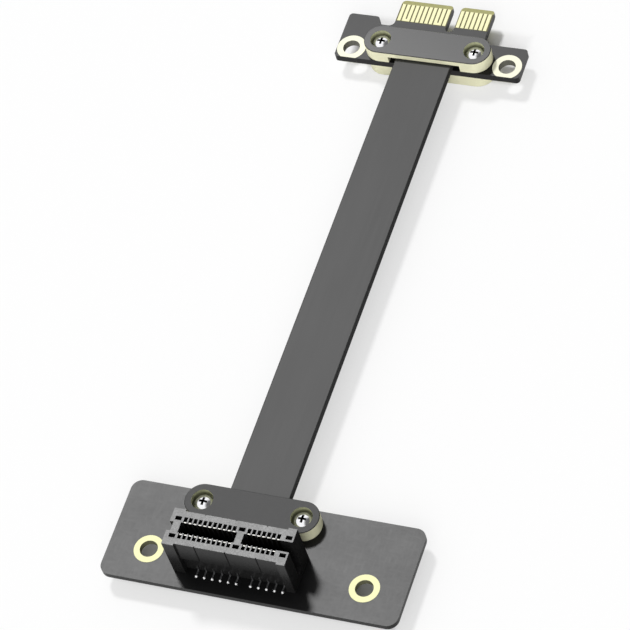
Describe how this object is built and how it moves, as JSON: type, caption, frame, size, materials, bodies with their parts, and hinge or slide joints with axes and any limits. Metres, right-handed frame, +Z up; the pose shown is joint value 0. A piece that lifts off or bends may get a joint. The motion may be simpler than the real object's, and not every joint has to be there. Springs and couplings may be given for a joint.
{
  "type": "card-edge ribbon extension cable",
  "caption": "Flat ribbon cable that carries a one-lane card-edge slot from a keyed plug board to an open-ended socket on a mounting board, with screwed clamp plates at both ends.",
  "frame": {"origin": "on the bench plane under the two lower clamps, midway along the length and the width of the boards", "axes": "+Y along the ribbon from the socket board to the plug board's card edge, +Z up out of the socket's mouth, +X along the socket towards its open end"},
  "size_m": [0.0608, 0.145, 0.0148],
  "materials": {
    "board_mask": "satin dark grey solder mask over glass laminate",
    "gold": "pale gold plating",
    "housing": "fine-grained moulded black nylon",
    "contact_metal": "formed phosphor bronze, gold flashed",
    "tin": "bright tin and solder",
    "clamp_laminate": "glass laminate, dark faces, raw pale edges",
    "screw_steel": "bright nickel-plated steel",
    "ribbon_jacket": "smooth dark ribbon jacket"
  },
  "bodies": {
    "root": {"socket_board": "board_mask", "plug_board": "board_mask", "socket_eyelets": "gold", "plug_eyelets": "gold", "plug_fingers_top": "gold", "plug_fingers_bottom": "gold", "socket_housing": "housing", "front_contacts": "contact_metal", "rear_contacts": "contact_metal", "front_leads": "tin", "rear_leads": "tin", "front_solder_joints": "tin", "rear_solder_joints": "tin", "socket_upper_clamp": "clamp_laminate", "socket_lower_clamp": "clamp_laminate", "plug_upper_clamp": "clamp_laminate", "plug_lower_clamp": "clamp_laminate", "socket_clamp_screws": "screw_steel", "plug_clamp_screws": "screw_steel", "socket_clamp_nuts": "screw_steel", "plug_clamp_nuts": "screw_steel", "ribbon": "ribbon_jacket", "socket_end_wires": "tin", "plug_end_wires": "tin", "socket_wire_pads": "gold", "plug_wire_pads": "gold"}
  },
  "joints": []
}
